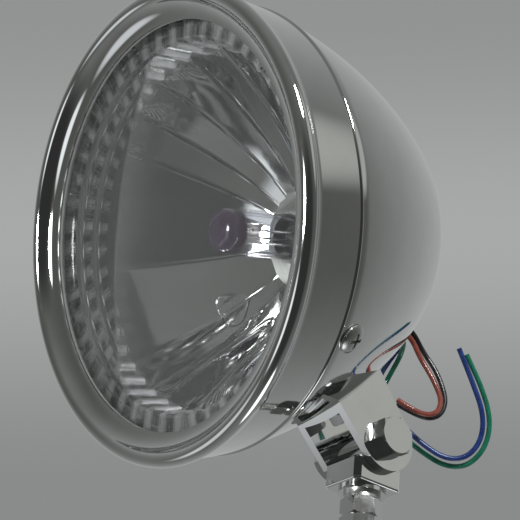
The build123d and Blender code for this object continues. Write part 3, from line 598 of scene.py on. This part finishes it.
def rubberFinish():
    finish = Finish("blackRubber")
    grain = finish.noise(finish.place, 700, 4)
    finish.paint("colour", finish.blend(grain, (0.018, 0.018, 0.019), (0.045, 0.045, 0.047)))
    finish.paint("rough", 0.55 + 0.25 * grain)
    finish.paint("normal", finish.bumps(grain, 0.3, 0.0003))
    return finish


def gasketFinish():
    finish = Finish("greyRubber")
    grain = finish.noise(finish.place, 500, 4)
    finish.paint("colour", finish.blend(grain, (0.26, 0.265, 0.26), (0.36, 0.365, 0.36)))
    finish.paint("rough", 0.35 + 0.2 * grain)
    finish.paint("normal", finish.bumps(grain, 0.2, 0.0003))
    return finish


def brassFinish():
    finish = Finish("tinnedBrass", metal=1.0)
    tarnish = finish.noise(finish.place, 180, 5)
    worn = tarnish.between(0.4, 0.7)
    finish.paint("colour", finish.blend(worn, (0.72, 0.55, 0.27), (0.45, 0.33, 0.16)))
    finish.paint("rough", 0.22 + 0.3 * tarnish)
    return finish


def plugFinish():
    finish = Finish("plugPlastic")
    grain = finish.noise(finish.place, 420, 4)
    finish.paint("colour", finish.blend(grain, (0.66, 0.65, 0.60), (0.76, 0.75, 0.70)))
    finish.paint("rough", 0.4 + 0.2 * grain)
    finish.paint("normal", finish.bumps(grain, 0.15, 0.0003))
    return finish


def insulationFinish(name, dark, light):
    finish = Finish(name)
    streak = finish.noise(finish.place, 260, 4)
    finish.paint("colour", finish.blend(streak.between(0.3, 0.7), dark, light))
    finish.paint("rough", 0.28 + 0.16 * streak)
    finish.paint("coat", 0.3 + 0.3 * streak)
    finish.paint("normal", finish.bumps(streak, 0.1, 0.0002))
    return finish


def filamentFinish():
    finish = Finish("filamentWire", metal=1.0)
    band = finish.noise(finish.place, 900, 2)
    finish.paint("colour", finish.blend(band, (0.30, 0.29, 0.28), (0.55, 0.54, 0.52)))
    finish.paint("rough", 0.3 + 0.2 * band)
    return finish


# the lamp's own millimetres for its front, then metres behind that for the coat
bulb = {"front": 3.0, "coatTo": 0.006, "coatFades": 0.0085}


def bulbFinish():
    # clear envelope with a dark purple-black coat over the front of the tip
    finish = Finish("bulbEnvelope", coat=0.6)
    axis = lampVector((0, 1, 0))
    start = float(ownFrame((0, bulb["front"], 0)) @ np.array(axis))
    depth = finish.along(finish.place, axis)
    capped = 1 - depth.between(start + bulb["coatTo"], start + bulb["coatFades"])
    swirl = finish.noise(finish.place, 160, 4)
    finish.paint("colour", finish.blend(swirl, (0.020, 0.012, 0.028), (0.055, 0.035, 0.060)))
    finish.paint("rough", 0.10 + 0.12 * swirl)
    through = finish.add("ShaderNodeBsdfTransparent", {}, {"Color": (0.93, 0.93, 0.95)})
    gloss = finish.add("ShaderNodeBsdfGlossy", {}, {"Color": (0.9, 0.9, 0.92), "Roughness": 0.03})
    shine = finish.add("ShaderNodeLayerWeight", {}, {"Blend": 0.10}, output="Fresnel").least(0.45)
    finish.show(finish.mixed(capped, finish.mixed(shine, through, gloss), finish.surface))
    return finish


chrome, zinc, spring = chromeFinish(), zincFinish(), springSteelFinish()
rubber, greyRubber, brass, plug = rubberFinish(), gasketFinish(), brassFinish(), plugFinish()
filament = filamentFinish()
clearGlass = clearFinish("lensClear", (0.985, 0.99, 0.99), 0.12, 0.018)
bulbClear = bulbFinish()
insulation = {
    "black": insulationFinish("insulationBlack", (0.010, 0.010, 0.011), (0.028, 0.028, 0.030)),
    "red": insulationFinish("insulationRed", (0.24, 0.050, 0.034), (0.34, 0.080, 0.052)),
    "blue": insulationFinish("insulationBlue", (0.010, 0.035, 0.18), (0.02, 0.06, 0.28)),
    "green": insulationFinish("insulationGreen", (0.006, 0.14, 0.080), (0.012, 0.24, 0.14)),
}
print("finishes made")

nodeFinishes = {
    "mount_bracket": chrome, "bracket_backing": zinc, "bracket_bolt": zinc, "bracket_nut": zinc,
    "pivot_bolt": chrome, "pivot_washer": chrome, "pivot_nut": chrome, "wire_grommet": rubber,
    "inner_leads": insulation["black"], "swivel_block": chrome, "stud_washer": chrome,
    "stud_spring_washer": zinc, "stud_nut": chrome, "stud_lock_nut": chrome, "ring_straps": zinc,
    "ring_hook": zinc, "side_screws": zinc, "strap_nuts": zinc, "lens_gasket": greyRubber,
    "unit_clips": spring,
    "bulb_glass": bulbClear, "bulb_filaments": filament, "bulb_base": zinc, "bulb_terminals": brass,
    "bulb_clip": spring, "bulb_boot": rubber, "bulb_plug": plug, "position_holder": rubber,
    "position_bulb": clearGlass,
}
for name, finish in nodeFinishes.items():
    dressed(nodes[name], finish)

makeRing(chrome)
makeBucket(chrome)
makeLens(clearGlass)
makeReflector(mirrorFinish())
makeStud(threadFinish())
for colour, finish in insulation.items():
    makeWire(colour, finish)
print("pieces made")


# ---- floor, lamps and world

studio = {
    "floorHeight": -0.30, "floorReach": 2.5, "lampsFace": (0.0, -0.03, 0.09),
    "key": {"towards": (-0.73, 0.20, 0.65), "distance": 1.1, "size": 0.26, "power": 9.0},
    "top": {"towards": (0.35, 0.80, 0.50), "distance": 1.2, "size": 0.30, "power": 9.0},
    "side": (0.088, 0.090, 0.085), "backdrop": (0.430, 0.440, 0.440), "spread": 1.4,
    "ceiling": (0.175, 0.178, 0.175), "dark": (0.030, 0.031, 0.030),
    "darkTowards": (0.1, -0.25, 0.96), "darkFrom": 0.45, "darkFull": 0.85,
    "wallLow": (0.250, 0.262, 0.258), "wallMiddle": (0.390, 0.400, 0.400),
    "wallHigh": (0.285, 0.295, 0.292), "wallHeights": (-0.17, 0.02, 0.19),
    "patches": (
        {"towards": (-0.90, -0.43, 0.02), "from": 0.955, "to": 0.992, "shade": (0.62, 0.64, 0.66)},
        {"towards": (-0.79, -0.24, 0.56), "from": 0.965, "to": 0.993, "shade": (0.95, 0.98, 1.00)},
        {"towards": (0.86, 0.51, 0.02), "from": 0.930, "to": 0.975, "shade": (0.400, 0.405, 0.385)},
        {"towards": (0.20, -0.95, 0.15), "from": 0.958, "to": 0.980, "shade": (1.80, 1.84, 1.88)},
        {"towards": (-0.73, 0.20, 0.65), "from": 0.986, "to": 0.993, "shade": (3.40, 3.45, 3.50)},
    ),
}


def lookFrame(v):
    # a direction given as right, up and back of the photograph, in the part's frame
    d = v[0] * np.array(view["right"]) + v[1] * np.array(view["up"]) + v[2] * np.array(view["back"])
    return d / np.linalg.norm(d)


def makeFloor():
    # pale to the camera, while mirrors see the room through it
    finish = Finish("paleFloor")
    grain = finish.noise(finish.place, 30, 4)
    finish.paint("colour", finish.blend(grain, (0.58, 0.58, 0.57), (0.62, 0.62, 0.61)))
    finish.paint("rough", 0.7)
    through = finish.add("ShaderNodeBsdfTransparent", {}, {})
    finish.show(finish.mixed(finish.ray("Is Glossy Ray"), finish.surface, through))
    reach, height = studio["floorReach"], studio["floorHeight"]
    corners = [(x * reach, y * reach, height) for x, y in ((-1, -1), (1, -1), (1, 1), (-1, 1))]
    mesh = bpy.data.meshes.new("floor")
    mesh.from_pydata(corners, [], [(0, 1, 2, 3)])
    floor = bpy.data.objects.new("floor", mesh)
    bpy.context.scene.collection.objects.link(floor)
    dressed(floor, finish)


def makeLamp(name, facts):
    # a disc that faces the object from its own direction
    light = bpy.data.lights.new(name, "AREA")
    light.shape = "DISK"
    light.size = facts["size"]
    light.energy = facts["power"]
    lamp = bpy.data.objects.new(name, light)
    bpy.context.scene.collection.objects.link(lamp)
    back = lookFrame(facts["towards"])
    side = np.cross((0.0, 0.0, 1.0), back)
    side = side / np.linalg.norm(side)
    place = np.array(studio["lampsFace"]) + facts["distance"] * back
    turn = Matrix((tuple(side), tuple(np.cross(back, side)), tuple(back))).transposed()
    lamp.matrix_world = Matrix.Translation(tuple(place)) @ turn.to_4x4()


def makeWorld():
    # a grey room: pale paper behind the object, dim sides, a dark front and soft bright patches
    world = bpy.data.worlds.new("studio")
    bpy.context.scene.world = world
    shader = Shader(world)
    direction = shader.add("ShaderNodeTexCoord", {}, {}, output="Generated")

    def towards(v):
        return shader.along(direction, tuple(lookFrame(v)))

    ceiling = towards((0, 1, 0)).size() ** 3
    light = shader.blend(ceiling, studio["side"], studio["ceiling"])
    behind = towards((0, 0, -1)).most(0.0) ** studio["spread"]
    light = shader.blend(behind, light, studio["backdrop"])
    front = towards(studio["darkTowards"]).between(studio["darkFrom"], studio["darkFull"])
    light = shader.blend(front, light, studio["dark"])
    for patch in studio["patches"]:
        share = towards(patch["towards"]).between(patch["from"], patch["to"])
        light = shader.blend(share, light, patch["shade"])
    # painted shade on the wall seen by the camera: darker towards the bottom and the top, palest in
    # the middle
    height = towards((0, 1, 0))
    low, middle, high = studio["wallHeights"]
    wall = shader.blend(height.between(low, middle), studio["wallLow"], studio["wallMiddle"])
    wall = shader.blend(height.between(middle, high), wall, studio["wallHigh"])
    background = shader.tree.nodes["Background"]
    shader.feed(background.inputs["Color"], shader.blend(shader.ray("Is Camera Ray"), light, wall))
    shader.feed(background.inputs["Strength"], 1.0)


makeFloor()
makeLamp("keyLamp", studio["key"])
makeLamp("topLamp", studio["top"])
makeWorld()
bpy.context.scene.view_settings.view_transform = "Standard"
bpy.context.view_layer.update()
print("stage made")
